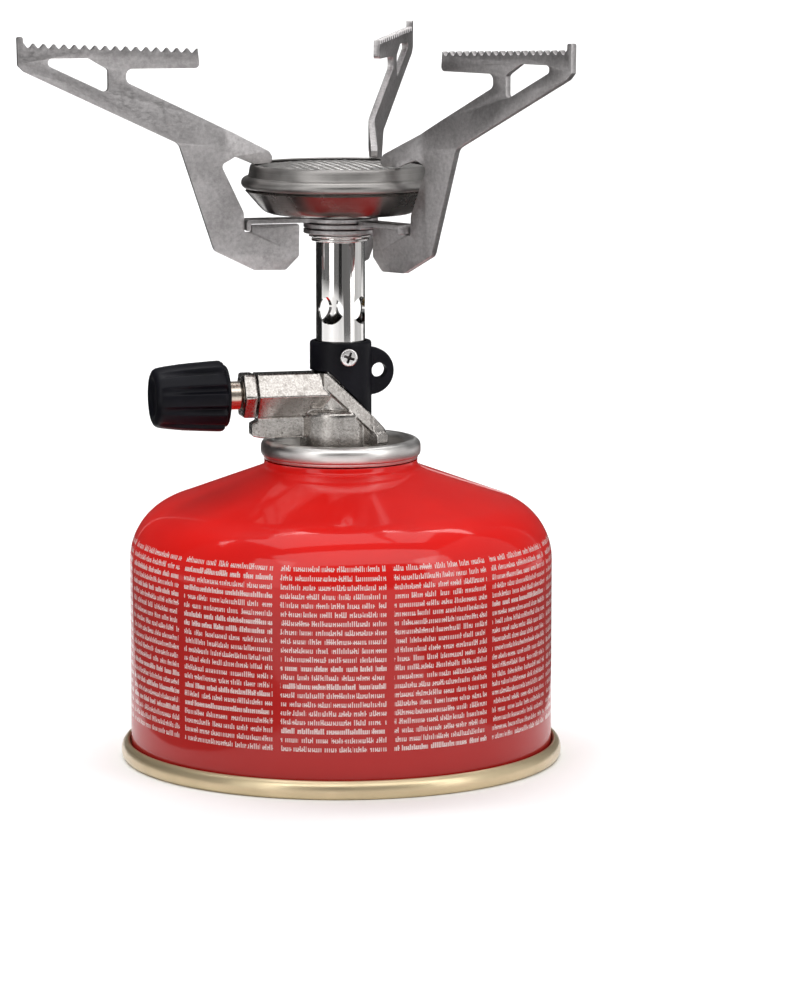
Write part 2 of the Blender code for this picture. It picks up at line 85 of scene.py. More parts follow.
class Nodes:
    """A material's node tree with short calls for the nodes that the looks below use."""

    def __init__(self, name, colour, roughness, metallic=0.0, **sockets):
        self.material = bpy.data.materials.new(name)
        self.material.use_nodes = True
        self.tree = self.material.node_tree
        self.shader = self.tree.nodes["Principled BSDF"]
        self.shader.inputs["Base Color"].default_value = (*colour, 1)
        self.shader.inputs["Roughness"].default_value = roughness
        self.shader.inputs["Metallic"].default_value = metallic
        for socket, value in sockets.items():
            self.shader.inputs[socket.replace("_", " ")].default_value = value
        self.place = self.add("ShaderNodeTexCoord").outputs["Object"]

    def add(self, kind, inputs=(), **settings):
        node = self.tree.nodes.new(kind)
        for key, value in settings.items():
            setattr(node, key, value)
        for key, value in dict(inputs).items():
            if hasattr(value, "is_output"):
                self.tree.links.new(value, node.inputs[key])
            else:
                node.inputs[key].default_value = value
        return node

    def math(self, operation, a, b=0.0):
        return self.add("ShaderNodeMath", {0: a, 1: b}, operation=operation).outputs[0]

    def plus(self, a, b):
        return self.math("ADD", a, b)

    def times(self, product, *factors):
        for factor in factors:
            product = self.math("MULTIPLY", product, factor)
        return product

    def over(self, a, b):
        return self.math("GREATER_THAN", a, b)

    def under(self, a, b):
        return self.math("LESS_THAN", a, b)

    def cells(self, value):
        """(number of the cell that the value lies in, place within it from 0 to 1)."""
        return self.math("FLOOR", value), self.math("FRACT", value)

    def stretched(self, scale):
        return self.add("ShaderNodeMapping", {"Vector": self.place, "Scale": scale}).outputs[0]

    def noise(self, scale, stretch=(1, 1, 1), detail=4.0, rough=0.5):
        spot = self.stretched(stretch) if stretch != (1, 1, 1) else self.place
        inputs = {"Vector": spot, "Scale": scale, "Detail": detail, "Roughness": rough}
        return self.add("ShaderNodeTexNoise", inputs).outputs["Fac"]

    def span(self, value, low, high, to_low, to_high):
        inputs = {"Value": value, "From Min": low, "From Max": high, "To Min": to_low, "To Max": to_high}
        return self.add("ShaderNodeMapRange", inputs).outputs[0]

    def blend(self, amount, first, second):
        node = self.tree.nodes.new("ShaderNodeMix")
        node.data_type = "RGBA"
        for key, value in ((0, amount), (6, first), (7, second)):
            if hasattr(value, "is_output"):
                self.tree.links.new(value, node.inputs[key])
            else:
                node.inputs[key].default_value = value if key == 0 else (*value, 1)
        return node.outputs[2]

    def polar(self):
        """(angle about the object's Z in radians, height) of the point."""
        split = self.add("ShaderNodeSeparateXYZ", {0: self.place})
        return self.math("ARCTAN2", split.outputs[1], split.outputs[0]), split.outputs[2]

    def colour(self, value):
        self.tree.links.new(value, self.shader.inputs["Base Color"])

    def rough(self, value):
        self.tree.links.new(value, self.shader.inputs["Roughness"])

    def bump(self, height, strength, distance):
        inputs = {"Height": height, "Strength": strength, "Distance": distance}
        self.tree.links.new(self.add("ShaderNodeBump", inputs).outputs[0], self.shader.inputs["Normal"])


def ring_lines(look, count):
    """Fine turning lines: noise squeezed along the height and the radius, even around the axis."""
    split = look.add("ShaderNodeSeparateXYZ", {0: look.place})
    x_squared = look.math("POWER", split.outputs[0], 2.0)
    y_squared = look.math("POWER", split.outputs[1], 2.0)
    radius = look.math("SQRT", look.plus(x_squared, y_squared))
    spot = look.add("ShaderNodeCombineXYZ", {0: radius, 1: split.outputs[2]}).outputs[0]
    return look.add("ShaderNodeTexNoise", {"Vector": spot, "Scale": count, "Detail": 3.0}).outputs["Fac"]


def print_mask(look, angle, height):
    """Where the ink lies: strokes of two heights and short bars, set in words, rows and columns."""
    along = look.times(angle, WALL_RADIUS)
    row, in_row = look.cells(look.times(height, 1 / PRINT_ROW))
    columns_round = look.times(angle, PRINT_COLUMNS / (2 * math.pi))
    column, in_column = look.cells(look.plus(columns_round, COLUMN_SHIFT))
    stroke, in_stroke = look.cells(look.times(along, 1 / STROKE_PITCH))

    def random(first, second):
        spot = look.add("ShaderNodeCombineXYZ", {0: first, 1: second, 2: column}).outputs[0]
        return look.add("ShaderNodeTexWhiteNoise", {"Vector": spot}).outputs["Value"]

    bold_row = look.over(random(row, 7.0), 0.86)
    drawn = look.under(in_stroke, look.plus(look.times(bold_row, 0.2), 0.5))

    word_shift = look.times(random(row, 3.0), 9.0)
    word, in_word = look.cells(look.plus(look.times(along, 1 / WORD_PITCH), word_shift))
    in_ink = look.over(in_word, look.times(random(word, row), 0.24))

    tall = look.over(random(stroke, row), 0.72)
    stroke_top = look.plus(look.times(tall, 0.17), 0.64)
    in_line = look.times(look.over(in_row, 0.2), look.under(in_row, stroke_top))

    has_bar = look.over(random(stroke, look.plus(row, 0.5)), 0.45)
    bar_level = look.plus(look.times(random(row, stroke), 0.35), 0.2)
    off_bar = look.math("ABSOLUTE", look.math("SUBTRACT", in_row, bar_level))
    bar = look.times(look.under(off_bar, 0.07), has_bar)

    ink = look.times(look.math("MAXIMUM", drawn, bar), in_line)
    margins = look.times(look.over(in_column, COLUMN_MARGIN), look.under(in_column, 1 - COLUMN_MARGIN))
    band = look.times(look.over(height, PRINT_LOW), look.under(height, PRINT_HIGH))
    return look.times(ink, in_ink, margins, band)


def red_lacquer():
    """Glossy red with columns of pale print: rows of plain upright strokes, with no letterforms; painted shade
    darkens the wall.
    """
    red, deep_red = (0.74, 0.006, 0.003), (0.66, 0.005, 0.003)
    painted_wall_shade, ink = (0.38, 0.010, 0.008), (0.66, 0.55, 0.53)
    coat = {"Specular_IOR_Level": 0.08, "Coat_Weight": 0.6, "Coat_Roughness": 0.08}
    look = Nodes("red_lacquer", red, 0.5, 0.0, **coat)
    angle, height = look.polar()
    shade = look.span(look.noise(60.0, detail=3.0), 0.3, 0.7, 0.0, 1.0)
    lacquer = look.blend(shade, red, deep_red)
    # Painted shade: the upright wall is coloured a darker red than the dome, for the lesser light that falls on
    # it.
    lacquer = look.blend(look.span(height, WALL_SHADE_START, WALL_SHADE_FULL, 0, 1), lacquer, painted_wall_shade)
    look.colour(look.blend(look.times(print_mask(look, angle, height), INK_COVER), lacquer, ink))
    look.bump(look.noise(220.0, detail=2.0), 0.03, 0.0003)
    return look.material


def gold_lacquer():
    """Clear gold coat over rolled steel, with turning lines and a faint mottle."""
    look = Nodes("gold_lacquer", (0.66, 0.54, 0.34), 0.34, 0.75, Coat_Weight=0.4, Coat_Roughness=0.2)
    lines = ring_lines(look, 2600.0)
    mottle = look.noise(90.0, detail=5.0)
    look.colour(look.blend(look.span(mottle, 0.35, 0.7, 0, 1), (0.70, 0.57, 0.36), (0.60, 0.49, 0.30)))
    look.rough(look.span(mottle, 0.3, 0.7, 0.26, 0.42))
    look.bump(lines, 0.12, 0.0002)
    return look.material


def turned_metal(name, dark, light, rough_low, rough_high, lines=3000.0, strength=0.15):
    """Pressed or turned sheet: fine lines around the axis, with blotches in tone and gloss."""
    look = Nodes(name, light, rough_low, 1.0)
    blotch = look.noise(140.0, detail=6.0, rough=0.6)
    line = ring_lines(look, lines)
    tone = look.span(look.plus(look.times(blotch, 0.6), look.times(line, 0.4)), 0.35, 0.65, 0, 1)
    look.colour(look.blend(tone, dark, light))
    look.rough(look.span(blotch, 0.3, 0.7, rough_low, rough_high))
    look.bump(line, strength, 0.0001)
    return look.material


def plated_casting():
    """Bright plating over a cast skin: fine grain, with dark blotches that gather low on the casting as painted
    shade and dark reflection.
    """
    look = Nodes("plated_casting", (0.80, 0.76, 0.72), 0.2, 1.0)
    lumps = look.noise(330.0, detail=2.0, rough=0.5)
    grain = look.noise(2600.0, detail=4.0, rough=0.6)
    blotches = look.noise(520.0, detail=7.0, rough=0.7)
    height = look.add("ShaderNodeSeparateXYZ", {0: look.place}).outputs[2]
    # Painted shade and dark reflection: the blotches spread further low on the casting, near the red can; the
    # random blotches elsewhere are the casting's own mottle.
    low = look.span(height, 68 * MM, 80 * MM, 0.06, -0.05)
    dark = look.span(look.plus(blotches, low), 0.58, 0.9, 0, 1)
    tone = look.blend(look.span(grain, 0.35, 0.65, 0, 1), (0.50, 0.475, 0.45), (0.36, 0.335, 0.315))
    look.colour(look.blend(dark, tone, (0.10, 0.085, 0.07)))
    look.rough(look.span(grain, 0.35, 0.7, 0.19, 0.31))
    look.bump(look.plus(look.times(lumps, 0.45), look.times(grain, 0.3)), 0.3, 0.0004)
    return look.material


def stainless_sheet():
    """Tumbled stainless plate: grey, with fine mottling, faint scuffs and a soft sheen."""
    look = Nodes("stainless_sheet", (0.42, 0.41, 0.40), 0.4, 1.0)
    mottle = look.noise(1300.0, detail=6.0, rough=0.7)
    cloud = look.noise(110.0, detail=5.0)
    scuff = look.noise(900.0, (1, 1, 3), detail=4.0)
    tone = look.plus(look.times(mottle, 0.6), look.times(cloud, 0.4))
    look.colour(look.blend(look.span(tone, 0.38, 0.62, 0, 1), (0.34, 0.325, 0.325), (0.54, 0.52, 0.52)))
    look.rough(look.span(scuff, 0.3, 0.7, 0.34, 0.52))
    look.bump(mottle, 0.12, 0.00015)
    return look.material


def chromed_tube():
    """Bright plated tube with fine drawn streaks along it."""
    look = Nodes("chromed_tube", (0.84, 0.82, 0.80), 0.08, 1.0)
    streak = look.noise(900.0, (1, 1, 0.03), detail=4.0)
    look.rough(look.span(streak, 0.3, 0.7, 0.05, 0.13))
    look.colour(look.blend(look.span(streak, 0.35, 0.65, 0, 1), (0.78, 0.76, 0.74), (0.88, 0.86, 0.845)))
    look.bump(streak, 0.03, 0.0001)
    return look.material


def black_plastic(name, ridges):
    """Moulded plastic: fine spark-eroded grain, with faint level mould lines where asked."""
    look = Nodes(name, (0.006, 0.006, 0.009), 0.46, 0.0, Specular_IOR_Level=0.14)
    grain = look.noise(1800.0, detail=4.0, rough=0.6)
    cloud = look.noise(120.0, detail=4.0)
    look.colour(look.blend(look.span(cloud, 0.35, 0.7, 0, 1), (0.003, 0.003, 0.005), (0.007, 0.007, 0.011)))
    look.rough(look.span(cloud, 0.3, 0.7, 0.36, 0.52))
    relief = look.times(grain, 0.3)
    if ridges:
        split = look.add("ShaderNodeSeparateXYZ", {0: look.place})
        wave = look.math("SINE", look.times(split.outputs[2], 2 * math.pi / MOULD_LINE_PITCH))
        relief = look.plus(relief, look.times(look.over(wave, 0.93), 0.8))
    look.bump(relief, 0.25, 0.0003)
    return look.material


def screw_steel():
    """Bright machined steel, with painted shade in the recess behind the face of the head."""
    look = Nodes("screw_steel", (0.8, 0.79, 0.78), 0.24, 1.0)
    grain = look.noise(1500.0, detail=5.0)
    depth = look.add("ShaderNodeSeparateXYZ", {0: look.place}).outputs[1]
    # Painted shade: points behind the face of the head, in the slots and recess, go near black.
    inside = look.span(depth, SCREW_FACE, SCREW_RECESS, 0, 1)
    face = look.blend(look.span(grain, 0.3, 0.7, 0, 1), (0.86, 0.85, 0.84), (0.68, 0.66, 0.65))
    look.colour(look.blend(inside, face, (0.05, 0.045, 0.045)))
    look.rough(look.span(grain, 0.3, 0.7, 0.2, 0.34))
    look.bump(grain, 0.1, 0.0002)
    return look.material


def soft_material(name, colour, roughness, scale):
    """Rubber or nylon: matte, with an even fine grain."""
    look = Nodes(name, colour, roughness)
    grain = look.noise(scale, detail=5.0)
    paler = tuple(min(1.0, value * 1.25 + 0.004) for value in colour)
    look.colour(look.blend(look.span(grain, 0.3, 0.7, 0, 1), colour, paler))
    look.rough(look.span(grain, 0.3, 0.7, roughness - 0.08, roughness + 0.08))
    look.bump(grain, 0.15, 0.0002)
    return look.material


RED = red_lacquer()
GOLD = gold_lacquer()
TIN = turned_metal("tinplate", (0.64, 0.62, 0.60), (0.88, 0.86, 0.84), 0.28, 0.42)
NICKEL = plated_casting()
TUBE = chromed_tube()
STAINLESS = stainless_sheet()
RIM = turned_metal("burner_rim_steel", (0.25, 0.24, 0.23), (0.37, 0.355, 0.345), 0.34, 0.48)
# The bowl's steel is darker for its heat tint and also as painted shade, for the shadow and dark reflection
# under the burner.
BOWL_TINT_AND_SHADE = turned_metal("burner_bowl_tint_and_shade", (0.19, 0.175, 0.165), (0.29, 0.27, 0.255), 0.2, 0.32)
PLATE = turned_metal("burner_plate_steel", (0.42, 0.41, 0.40), (0.60, 0.58, 0.56), 0.28, 0.42)
KNOB = black_plastic("knob_plastic", False)
SLEEVE = black_plastic("sleeve_plastic", True)
BRASS = turned_metal("turned_brass", (0.62, 0.44, 0.18), (0.78, 0.58, 0.27), 0.2, 0.34)
STEEL = turned_metal("bright_steel", (0.52, 0.50, 0.49), (0.74, 0.72, 0.70), 0.18, 0.3)
SPINDLE = turned_metal("spindle_steel", (0.58, 0.50, 0.42), (0.72, 0.64, 0.56), 0.22, 0.34)
SCREW = screw_steel()
RUBBER = soft_material("black_rubber", (0.016, 0.016, 0.016), 0.62, 900.0)
NYLON = soft_material("white_nylon", (0.72, 0.71, 0.66), 0.45, 600.0)


# Shape helpers ------------------------------------------------------------------------------


def piece(obj, look, body, *nodes):
    """Gives a made object its material and its body, and hides the CAD nodes that it stands for."""
    obj.data.materials.clear()
    obj.data.materials.append(look)
    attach(obj, body)
    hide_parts(*nodes)
    return obj


def settled(obj):
    """The object with its place in the world written into its mesh."""
    obj.data.transform(obj.matrix_world)
    obj.matrix_world = Matrix.Identity(4)
    return obj


def turned(name, profile, steps=128, location=(AXIS_X, 0, 0), closed=True):
    """A profile of (radius, height) in mm, down its outer side, turned about the object's Z."""
    mesh = bpy.data.meshes.new(name)
    count = len(profile)
    links = [(k, (k + 1) % count) for k in range(count if closed else count - 1)]
    mesh.from_pydata([(r * MM, 0, z * MM) for r, z in profile], links, [])
    obj = bpy.data.objects.new(name, mesh)
    scene.collection.objects.link(obj)
    screw = obj.modifiers.new("turn", "SCREW")
    screw.steps = steps
    screw.render_steps = steps
    screw.use_merge_vertices = True
    screw.merge_threshold = 0.000005
    solid = baked(obj)
    solid.location = location
    return solid


def baked(obj, angle=32.0):
    """The object with its modifiers applied, shaded smooth with sharp edges kept."""
    bpy.context.view_layer.update()
    evaluated = obj.evaluated_get(bpy.context.evaluated_depsgraph_get())
    mesh = bpy.data.meshes.new_from_object(evaluated)
    name = obj.name
    place = obj.matrix_world.copy()
    for modifier in list(obj.modifiers):
        if modifier.type == "BOOLEAN" and modifier.object:
            bpy.data.objects.remove(modifier.object)
    bpy.data.objects.remove(obj)
    made = bpy.data.objects.new(name, mesh)
    scene.collection.objects.link(made)
    made.matrix_world = place
    mesh.shade_smooth()
    mesh.set_sharp_from_angle(angle=math.radians(angle))
    return made


def arc(centre_r, centre_z, radius, start, end, count):
    """Points on an arc, from a start to an end angle in degrees."""
    step = (end - start) / (count - 1)
    angles = [math.radians(start + step * k) for k in range(count)]
    return [(centre_r + radius * math.cos(a), centre_z + radius * math.sin(a)) for a in angles]


def eased(corners, segments=5):
    """A closed outline in mm from corners of (x, y, radius): each radius becomes an arc."""
    points = []
    count = len(corners)
    for k, (x, y, radius) in enumerate(corners):
        corner = Vector((x, y))
        if radius == 0:
            points.append(corner)
            continue
        before = (Vector(corners[k - 1][:2]) - corner).normalized()
        after = (Vector(corners[(k + 1) % count][:2]) - corner).normalized()
        half = before.angle(after) / 2
        reach = radius / math.tan(half)
        centre = corner + (before + after).normalized() * (radius / math.sin(half))
        start = corner + before * reach - centre
        turn = start.angle_signed(corner + after * reach - centre)
        for step in range(segments + 1):
            points.append(centre + Matrix.Rotation(-turn * step / segments, 2) @ start)
    return points


def cylinder(name, radius, depth, location, sides=64, axis="Z"):
    """A form in mm about the stove's axis, to join or cut with."""
    turns = {"X": (0, math.pi / 2, 0), "Y": (math.pi / 2, 0, 0), "Z": (0, 0, 0)}
    bpy.ops.mesh.primitive_cylinder_add(
        vertices=sides, radius=radius * MM, depth=depth * MM, rotation=turns[axis],
        location=(AXIS_X + location[0] * MM, location[1] * MM, location[2] * MM)
    )
    obj = bpy.context.object
    obj.name = name
    return obj


def box(name, size, location, turn=(0, 0, 0)):
    """A form in mm, placed from the stove's axis and turned in degrees."""
    bpy.ops.mesh.primitive_cube_add(size=1)
    obj = bpy.context.object
    obj.name = name
    obj.data.transform(Matrix.Diagonal([value * MM for value in size] + [1]))
    obj.location = (AXIS_X + location[0] * MM, location[1] * MM, location[2] * MM)
    obj.rotation_euler = [math.radians(value) for value in turn]
    return obj


def slope_box(name, size, above):
    """A cutting box whose face lies on the casting's sloping plane, raised above it in mm."""
    length, width, thickness = size
    obj = box(name, (length, width, abs(thickness)), (0, 0, 0), (0, SLOPE_ANGLE, 0))
    centre = Vector((length / 3, 0, above + thickness / 2)) * MM
    start = Vector(SLOPE_POINT) * MM + Vector((AXIS_X, 0, 0))
    obj.location = start + obj.rotation_euler.to_matrix() @ centre
    return obj


def combine(obj, other, operation):
    """Joins or cuts with another form, which goes once the result is baked."""
    cut = obj.modifiers.new(other.name, "BOOLEAN")
    cut.operation = operation
    cut.solver = "EXACT"
    cut.object = other
    other.hide_render = True
    other.hide_set(True)
    return obj


def softened(obj, voxel, passes):
    """A joined shape remeshed and relaxed, so that its edges are round as on a moulded part."""
    remesh = obj.modifiers.new("skin", "REMESH")
    remesh.mode = "VOXEL"
    remesh.voxel_size = voxel * MM
    relax = obj.modifiers.new("relax", "SMOOTH")
    relax.factor = 0.5
    relax.iterations = passes
    return baked(obj, 50.0)


def sheet(name, outlines, thickness, bevel=0.0):
    """A flat piece from closed outlines in mm, the first the outside and the others holes."""
    curve = bpy.data.curves.new(name, "CURVE")
    curve.dimensions = "2D"
    curve.fill_mode = "BOTH"
    curve.extrude = thickness * MM / 2
    for outline in outlines:
        spline = curve.splines.new("POLY")
        spline.points.add(len(outline) - 1)
        for point, spot in zip(spline.points, outline):
            point.co = (spot[0] * MM, spot[1] * MM, 0, 1)
        spline.use_cyclic_u = True
    flat = bpy.data.objects.new(name, curve)
    scene.collection.objects.link(flat)
    made = baked(flat)
    work = bmesh.new()
    work.from_mesh(made.data)
    bmesh.ops.remove_doubles(work, verts=work.verts, dist=1e-6)
    bmesh.ops.recalc_face_normals(work, faces=work.faces)
    work.to_mesh(made.data)
    work.free()
    if bevel:
        edge = made.modifiers.new("edge", "BEVEL")
        edge.width = bevel * MM
        edge.segments = 2
        edge.limit_method = "ANGLE"
        edge.angle_limit = math.radians(60)
        edge.use_clamp_overlap = True
    return made


def upright(obj, angle, offset=0.0):
    """Stands a sheet on edge: its X along the radius at an angle, its Y up, moved sideways."""
    turn = Matrix.Rotation(math.radians(angle), 4, "Z")
    shift = Vector((AXIS_X, 0, 0)) + turn @ Vector((0, offset * MM, 0))
    obj.matrix_world = Matrix.Translation(shift) @ turn @ Matrix.Rotation(math.pi / 2, 4, "X")
    return obj


# Gas canister -------------------------------------------------------------------------------


def canister():
    """The drawn can with its domed shoulder, and the concave end rolled onto it at the foot."""
    outside = [(16.3, 63.9), (16.3, 63.2), (16.5, 62.7), (17.1, 62.25), (18.5, 61.7), (23.1, 60.0)]
    outside += arc(31.5, 42.5, 13.5, 73, 0, 26) + [(45.0, 30.0), (45.0, 15.0), (45.0, 1.6)]
    inside = [(44.5, 1.6), (44.5, 30.0)] + arc(31.5, 42.5, 13.0, 0, 73, 20)
    inside += [(16.9, 61.7), (15.8, 62.6), (15.8, 63.9)]
    piece(turned("shell_skin", outside + inside, 192), RED, "canister", "canister_shell")

    rim = [(45.4, 3.55)] + arc(45.85, 3.45, 0.42, 150, 40, 6)
    rim += [(46.5, 3.45), (46.85, 3.0), (47.05, 2.3), (47.1, 1.6), (47.05, 1.0), (46.85, 0.45)]
    rim += [(46.5, 0.08), (46.2, 0.0), (44.6, 0.0), (44.2, 0.15), (43.95, 0.6), (43.85, 1.4)]
    rim += [(43.8, 2.6), (43.0, 3.0)]
    rim += [(40.0, 4.0), (34.0, 5.3), (26.0, 6.6), (13.0, 7.7), (0.0, 8.1)]
    rim += [(0.0, 8.6), (13.0, 8.2), (26.0, 7.1), (34.0, 5.8), (44.2, 3.1), (44.35, 1.2), (45.4, 1.2)]
    piece(turned("base_skin", rim, 192), GOLD, "canister", "canister_base")


def canister_valve():
    """The crimped cup with its boss, and the valve below it: housing, gasket, stem and spring."""
    cup = [(1.9, 70.2), (5.2, 70.2), (5.55, 69.8), (5.55, 65.2), (5.8, 64.6), (6.4, 64.4), (12.6, 64.0)]
    cup += [(13.3, 64.3), (13.55, 65.0), (13.75, 66.4)] + arc(15.4, 66.8, 1.6, 175, 0, 14)
    cup += [(17.0, 65.6), (16.85, 65.1), (16.45, 64.75), (16.42, 64.4), (16.3, 64.2), (16.05, 64.3)]
    cup += [(16.1, 64.9)]
    cup += arc(15.4, 66.8, 1.15, -10, 175, 12) + [(14.1, 66.2), (14.0, 64.2), (13.0, 63.4), (6.0, 63.8)]
    cup += [(5.0, 64.8), (5.0, 68.9), (1.9, 68.9)]
    piece(turned("cup_skin", cup, 128), TIN, "canister", "valve_cup")
    seal = [(15.4, 66.2), (16.0, 65.9), (16.0, 64.5), (15.9, 64.3), (15.0, 64.3), (15.0, 66.2)]
    piece(turned("cup_seal_skin", seal, 96), RUBBER, "canister", "cup_gasket")
    housing = [(2.6, 66.8), (4.4, 66.8), (4.6, 66.6), (4.6, 63.0), (4.2, 60.0), (3.4, 57.4), (3.4, 50.2)]
    housing += [(3.2, 50.0), (1.0, 50.0), (1.0, 56.0), (2.6, 57.0)]
    piece(turned("valve_housing_skin", housing, 64), NYLON, "canister", "canister_valve_housing")
    ring = [(1.85, 68.5), (4.5, 68.5), (4.6, 68.4), (4.6, 67.3), (4.5, 67.2), (1.85, 67.2)]
    piece(turned("valve_gasket_skin", ring, 64), RUBBER, "canister", "canister_valve_gasket")
    stem = [(0, 69.9), (0.5, 69.9), (0.6, 70.2), (1.1, 70.2), (1.4, 70.05), (1.5, 69.8), (1.5, 66.15)]
    stem += [(2.05, 66.0), (2.15, 65.9), (2.15, 64.7), (2.05, 64.6), (0, 64.6)]
    piece(turned("valve_stem_skin", stem, 48, closed=False), NYLON, "canister_stem", "canister_valve_stem")
    spring()


def spring():
    """The valve's closing spring, five turns of round wire."""
    curve = bpy.data.curves.new("valve_spring_wire", "CURVE")
    curve.dimensions = "3D"
    curve.bevel_depth = 0.25 * MM
    curve.bevel_resolution = 4
    curve.use_fill_caps = True
    spline = curve.splines.new("POLY")
    turns, per_turn, bottom, top = 5, 24, 57.6, 64.0
    count = turns * per_turn + 1
    spline.points.add(count - 1)
    for k in range(count):
        angle = 2 * math.pi * k / per_turn
        height = bottom + (top - bottom) * k / (count - 1)
        spot = (1.53 * math.cos(angle) * MM, 1.53 * math.sin(angle) * MM, height * MM, 1)
        spline.points[k].co = spot
    wire = bpy.data.objects.new("valve_spring_wire", curve)
    scene.collection.objects.link(wire)
    made = baked(wire, 60)
    made.location = (AXIS_X, 0, 0)
    piece(made, STEEL, "canister", "canister_valve_spring")


# Stove body ---------------------------------------------------------------------------------


def valve_body():
    """The casting: socket hub, hexagonal barrel, sloping plate and three fins, with its bores cut."""
    z = BARREL_Z / MM
    body = cylinder("casting_skin", 8.7, 9.9, (0, 0, 69.95), 96)
    round_top = body.modifiers.new("shoulder", "BEVEL")
    round_top.width = 1.1 * MM
    round_top.segments = 5
    round_top.limit_method = "ANGLE"
    combine(body, cylinder("hub_core_form", 6.0, 16.0, (0, 0, 74.8), 64), "UNION")
    barrel = cylinder("barrel_form", 5.25, -BARREL_END, (BARREL_END / 2, 0, z), 6, "X")
    combine(body, barrel, "UNION")
    half = [(-4.8, 4.4, 0), (-3.2, 5.6, 0.8), (4.2, 10.8, 1.0), (7.1, 9.5, 1.2), (8.9, 4.5, 2.0)]
    outline = half + [(x, -y, radius) for x, y, radius in reversed(half)]
    plate = sheet("slope_plate_form", [eased(outline)], 16.0)
    plate.location = (AXIS_X, 0, BARREL_Z - 3.3 * MM)
    under = slope_box("slope_under_cut", (60, 40, -20), -2.6)
    combine(plate, under, "DIFFERENCE")
    plate = baked(plate)
    combine(body, plate, "UNION")
    left_fin = [(4.0, 79.0, 0), (18.4, 79.0, 0), (18.4, 72.6, 0.4), (19.65, 72.1, 0.4)]
    left_fin += [(19.65, 69.45, 0.6), (17.6, 68.95, 0.4), (4.0, 68.95, 0)]
    combine(body, upright(sheet("left_fin_form", [eased(left_fin)], 3.5), 180), "UNION")
    toe = [(3.0, 74.6, 0), (9.6, 74.6, 0), (12.0, 70.9, 0.8), (12.9, 70.1, 0.4), (12.9, 68.25, 0.4)]
    toe += [(11.2, 67.75, 0.4), (3.0, 67.75, 0)]
    for name, angle in (("back_fin_form", 60), ("front_fin_form", -60)):
        combine(body, upright(sheet(name, [eased(toe)], 3.1), angle), "UNION")
    combine(body, slope_box("slope_cut", (60, 40, 20), 0.0), "DIFFERENCE")
    combine(body, cylinder("column_form", 5.15, 13.4, (0, 0, 77.6), 64), "UNION")
    cuts = (
        ("socket_cut", 5.9, 12.0, (0, 0, 66.4), "Z"),
        ("jet_cut", 2.35, 4.0, (0, 0, 83.3), "Z"),
        ("spindle_cut", 3.45, 14.0, (-14.6, 0, z), "X"),
        ("needle_cut", 1.55, 7.6, (-5.2, 0, z), "X"),
    )
    for name, radius, depth, centre, axis in cuts:
        combine(body, cylinder(name, radius, depth, centre, 48, axis), "DIFFERENCE")
    piece(softened(body, 0.17, 4), NICKEL, "stove", "valve_body")


def along_x(name, profile, steps=72, closed=False):
    """A turned piece about the barrel's axis: heights in the profile run out along -X."""
    obj = turned(name, profile, steps, (AXIS_X + BARREL_END * MM, 0, BARREL_Z), closed)
    obj.rotation_euler = (0, -math.pi / 2, 0)
    return obj


def edged(obj, width, segments=3, angle=32.0):
    """Rounds the edges that are sharper than an angle in degrees."""
    edge = obj.modifiers.new("edge", "BEVEL")
    edge.width = width * MM
    edge.segments = segments
    edge.limit_method = "ANGLE"
    edge.angle_limit = math.radians(angle)
    return obj


def gland_nut():
    """The packing nut on the end of the barrel."""
    z = BARREL_Z / MM
    nut = cylinder("gland_nut_skin", 9.2 / math.sqrt(3), 2.8, (BARREL_END - 0.3 - 1.4, 0, z), 6, "X")
    edged(nut, 0.45)
    combine(nut, cylinder("nut_shank_form", 2.95, 3.0, (BARREL_END + 0.9, 0, z), 48, "X"), "UNION")
    combine(nut, cylinder("nut_bore_cut", 2.0, 14.0, (BARREL_END, 0, z), 48, "X"), "DIFFERENCE")
    piece(baked(nut), NICKEL, "stove", "gland_nut")


def spindle_and_seals():
    """The needle with its thread and collar, both o-rings, the pin, the jet and its filter."""
    spindle = [(0, 16.4), (1.3, 16.4), (1.7, 16.0), (1.7, 6.2), (2.9, 6.15), (3.0, 6.05)]
    spindle += [(3.0, 3.55), (2.9, 3.45), (1.6, 3.4), (1.6, -5.2)]
    pitch, crest, start = 0.7, 2.85, 5.3
    for k in range(5):
        spindle += [(2.4, -start - pitch * k), (crest, -start - pitch * (k + 0.5))]
    spindle += [(2.4, -9.1), (2.4, -9.4), (1.2, -9.9), (1.2, -14.4), (0.35, -16.0), (0, -16.0)]
    piece(along_x("spindle_skin", spindle), SPINDLE, "knob", "valve_spindle")
    ring = along_x("spindle_seal_skin", arc(2.45, -4.3, 0.48, 90, -255, 24), 64, True)
    piece(ring, RUBBER, "spindle_seal", "spindle_oring")
    seal = turned("thread_seal_skin", arc(3.6, 71.35, 0.68, 90, -255, 24), 72)
    piece(seal, RUBBER, "seal", "thread_seal")
    pin = [(0, 75.2), (0.9, 75.2), (1.0, 75.1), (1.0, 70.7), (0.75, 70.5), (0, 70.5)]
    piece(turned("pin_skin", pin, 40, closed=False), BRASS, "stove", "depressor_pin")
    nozzle = [(0.3, 88.0), (1.1, 88.0), (1.3, 87.9), (2.0, 87.2), (2.5, 87.0), (2.6, 86.9), (2.6, 84.8)]
    nozzle += [(2.5, 84.7), (2.0, 84.7), (2.0, 81.5), (1.9, 81.4), (1.4, 81.4), (1.4, 86.6), (0.3, 87.2)]
    piece(turned("jet_skin", nozzle, 64), BRASS, "stove", "jet")
    plug = [(0, 85.8), (1.0, 85.8), (1.1, 85.7), (1.1, 81.7), (1.0, 81.6), (0, 81.6)]
    piece(turned("jet_filter_skin", plug, 40, closed=False), BRASS, "stove", "jet_filter")


